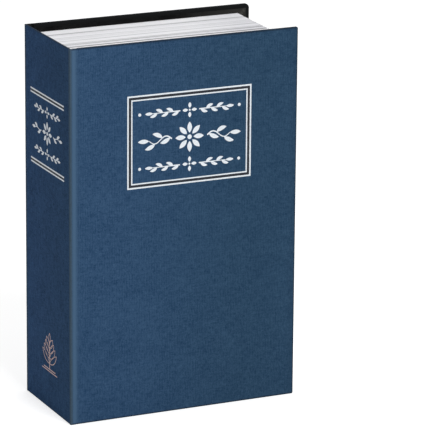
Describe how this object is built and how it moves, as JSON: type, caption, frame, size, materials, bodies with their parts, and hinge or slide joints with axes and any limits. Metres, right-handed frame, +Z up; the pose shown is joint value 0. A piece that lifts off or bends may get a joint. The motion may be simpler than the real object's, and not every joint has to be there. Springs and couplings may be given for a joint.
{
  "type": "book safe",
  "caption": "Book diversion safe: hardback case with false page edges round a steel tray, whose hinged lid has a three-dial combination lock and a turning knob",
  "frame": {"origin": "on the surface that the book stands on, below the middle of its width and thickness", "axes": "+X from the spine to the fore-edge, +Y from the front cover to the back cover, +Z up from foot to head"},
  "size_m": [0.115, 0.055, 0.18],
  "materials": {
    "cover_cloth": "navy linen-grained book cloth, matt",
    "spine_cloth": "navy linen-grained book cloth, matt",
    "endpaper": "black endpaper, smooth",
    "page_edge": "white with fine grey page lines",
    "grey_steel": "dark grey hammered paint",
    "black_plastic": "black, satin",
    "black_knob": "black, satin, turned top",
    "dial_plastic": "black with plain white numbers",
    "gold_line": "gold line",
    "plated_steel": "zinc plated",
    "lock_alloy": "die-cast zinc alloy, dull"
  },
  "bodies": {
    "case_and_tray": {"back_board": "cover_cloth", "back_hinge_strip": "cover_cloth", "back_endpaper": "endpaper", "page_frame": "page_edge", "tray": "grey_steel", "hinge_pin": "plated_steel", "strike_bracket": "plated_steel", "strike_rivet_1": "plated_steel", "strike_rivet_2": "plated_steel"},
    "spine": {"spine_board": "spine_cloth"},
    "cover": {"front_board": "cover_cloth", "front_endpaper": "endpaper", "front_hinge_strip": "cover_cloth"},
    "lid": {"lid": "grey_steel", "lock_faceplate": "black_plastic", "gold_trim": "gold_line", "detent_spring": "plated_steel", "lock_case": "lock_alloy", "lock_back_cover": "plated_steel", "case_screw_1": "plated_steel", "case_screw_2": "plated_steel", "case_screw_3": "plated_steel", "case_screw_4": "plated_steel"},
    "dial_1": {"digit_drum_1": "dial_plastic", "code_ring_1": "lock_alloy"},
    "dial_2": {"digit_drum_2": "dial_plastic", "code_ring_2": "lock_alloy"},
    "dial_3": {"digit_drum_3": "dial_plastic", "code_ring_3": "lock_alloy"},
    "knob": {"knob": "black_knob", "knob_spindle": "plated_steel", "tongue": "plated_steel", "tongue_nut": "plated_steel"},
    "locking_shaft": {"locking_shaft": "plated_steel"}
  },
  "joints": [
    {"name": "spine_fold", "type": "hinge", "parent": "case_and_tray", "child": "spine", "pos_m": [-0.0571, 0.0271, 0], "axis": [0, 0, -1], "range_deg": [0, 90]},
    {"name": "cover_open", "type": "hinge", "parent": "spine", "child": "cover", "pos_m": [-0.0571, -0.0271, 0], "axis": [0, 0, -1], "range_deg": [0, 180]},
    {"name": "lid_open", "type": "hinge", "parent": "case_and_tray", "child": "lid", "pos_m": [-0.0515, -0.0211, 0], "axis": [0, 0, -1], "range_deg": [0, 100]},
    {"name": "dial_1_turn", "type": "hinge", "parent": "lid", "child": "dial_1", "pos_m": [0.0174, -0.0169, 0.10382], "axis": [0, 0, 1], "continuous": true},
    {"name": "dial_2_turn", "type": "hinge", "parent": "lid", "child": "dial_2", "pos_m": [0.0174, -0.0169, 0.09767], "axis": [0, 0, 1], "continuous": true},
    {"name": "dial_3_turn", "type": "hinge", "parent": "lid", "child": "dial_3", "pos_m": [0.0174, -0.0169, 0.09152], "axis": [0, 0, 1], "continuous": true},
    {"name": "knob_turn", "type": "hinge", "parent": "lid", "child": "knob", "pos_m": [0.0174, -0.0227, 0.0747], "axis": [0, 1, 0], "range_deg": [-90, 0]},
    {"name": "shaft_slide", "type": "slide", "parent": "lid", "child": "locking_shaft", "axis": [0, 0, 1], "range_m": [0, 0.00424]}
  ],
  "couplings": [
    {"joint": "spine_fold", "follows": "lid_open", "ratio": 0.9},
    {"joint": "knob_turn", "follows": "shaft_slide", "rad_per_m": -370.24}
  ]
}
